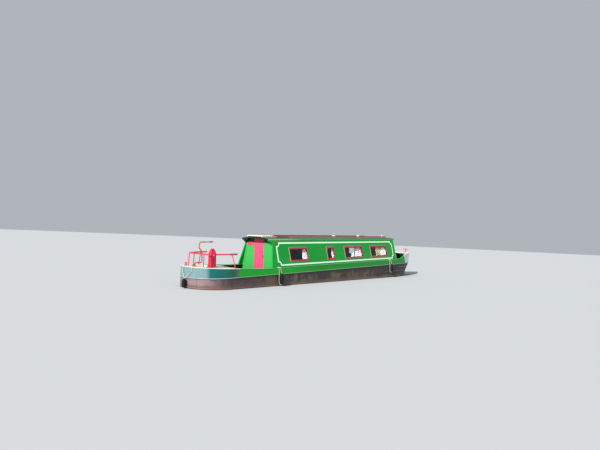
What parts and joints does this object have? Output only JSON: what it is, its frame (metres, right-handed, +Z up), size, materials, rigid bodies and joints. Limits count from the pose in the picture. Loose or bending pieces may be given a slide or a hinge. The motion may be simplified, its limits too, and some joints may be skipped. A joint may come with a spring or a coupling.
{
  "type": "narrowboat",
  "caption": "Steel narrowboat with a long cabin, stern deck with swan-neck tiller and rail, forward well deck, and hinged doors, hatches, rudder and propeller.",
  "frame": {"origin": "under the middle of the whole length, at the underside of the base plate", "axes": "+X to the bow, +Y to port, +Z up"},
  "size_m": [15.821, 2.3806, 2.3881],
  "materials": {
    "hull_paint": "matt black with wear",
    "cabin_paint": "gloss green",
    "roof_paint": "satin green",
    "deck_paint": "worn, pale",
    "red_paint": "gloss red",
    "cream_paint": "satin cream",
    "steel": "dull",
    "bronze": "dull",
    "floor_wood": "oiled",
    "window": "clear",
    "curtain_cloth": "woven",
    "fender_rubber": "matt",
    "engine_paint": "painted"
  },
  "bodies": {
    "hull": {"base_plate": "hull_paint", "counter_shell": "hull_paint", "counter_plate": "hull_paint", "stern_post": "hull_paint", "stem_post": "hull_paint", "hull_side_starboard": "hull_paint", "hull_side_port": "hull_paint", "swim_starboard": "hull_paint", "swim_port": "hull_paint", "aft_deck": "deck_paint", "aft_well": "deck_paint", "fore_well": "deck_paint", "foredeck": "deck_paint", "side_deck_starboard": "deck_paint", "side_deck_port": "deck_paint", "cabin_floor": "floor_wood", "cabin_side_starboard": "cabin_paint", "cabin_side_port": "cabin_paint", "roof": "roof_paint", "aft_bulkhead": "cabin_paint", "front_bulkhead": "cabin_paint", "handrail_starboard": "red_paint", "handrail_port": "red_paint", "window_starboard_1": "window", "window_starboard_2": "window", "window_starboard_3": "window", "window_starboard_4": "window", "window_port_1": "window", "window_port_2": "window", "window_port_3": "window", "window_port_4": "window", "curtains_starboard": "curtain_cloth", "curtains_port": "curtain_cloth", "vent_panel": "red_paint", "stern_rail": "red_paint", "control_column": "red_paint", "foredeck_stud": "red_paint", "engine": "engine_paint", "fender_starboard_1": "fender_rubber", "fender_starboard_2": "fender_rubber", "fender_port_1": "fender_rubber", "fender_port_2": "fender_rubber", "stern_fender": "fender_rubber"},
    "rudder": {"rudder": "steel", "tiller": "red_paint"},
    "propeller": {"propeller": "bronze"},
    "aft_door": {"aft_door": "red_paint"},
    "sliding_hatch": {"sliding_hatch": "cream_paint"},
    "front_door_port": {"front_door_port": "cabin_paint"},
    "front_door_starboard": {"front_door_starboard": "cabin_paint"},
    "engine_hatch": {"engine_hatch": "deck_paint"},
    "locker_lid": {"locker_lid": "deck_paint"}
  },
  "joints": [
    {"name": "rudder_steering", "type": "hinge", "parent": "hull", "child": "rudder", "pos_m": [-7.44019, 0, 0.5], "axis": [0, 0, 1], "range_deg": [-35, 35]},
    {"name": "propeller_spin", "type": "hinge", "parent": "hull", "child": "propeller", "pos_m": [-7.04019, 0, 0.27], "axis": [1, 0, 0], "continuous": true},
    {"name": "aft_door_hinge", "type": "hinge", "parent": "hull", "child": "aft_door", "pos_m": [-4.45019, 0.262, 1.5], "axis": [0, 0, 1], "range_deg": [-95, 0]},
    {"name": "sliding_hatch_slide", "type": "slide", "parent": "hull", "child": "sliding_hatch", "axis": [1, 0, 0], "range_m": [0, 0.55]},
    {"name": "front_door_port_hinge", "type": "hinge", "parent": "hull", "child": "front_door_port", "pos_m": [4.72981, 0.4, 1.5], "axis": [0, 0, 1], "range_deg": [0, 100]},
    {"name": "front_door_starboard_hinge", "type": "hinge", "parent": "hull", "child": "front_door_starboard", "pos_m": [4.72981, -0.4, 1.5], "axis": [0, 0, 1], "range_deg": [-100, 0]},
    {"name": "engine_hatch_hinge", "type": "hinge", "parent": "hull", "child": "engine_hatch", "pos_m": [-6.27019, 0, 1.27245], "axis": [0, 1, 0], "range_deg": [0, 85]},
    {"name": "locker_lid_hinge", "type": "hinge", "parent": "hull", "child": "locker_lid", "pos_m": [6.87981, 0, 1.4803], "axis": [0, 1, 0], "range_deg": [0, 85]}
  ]
}
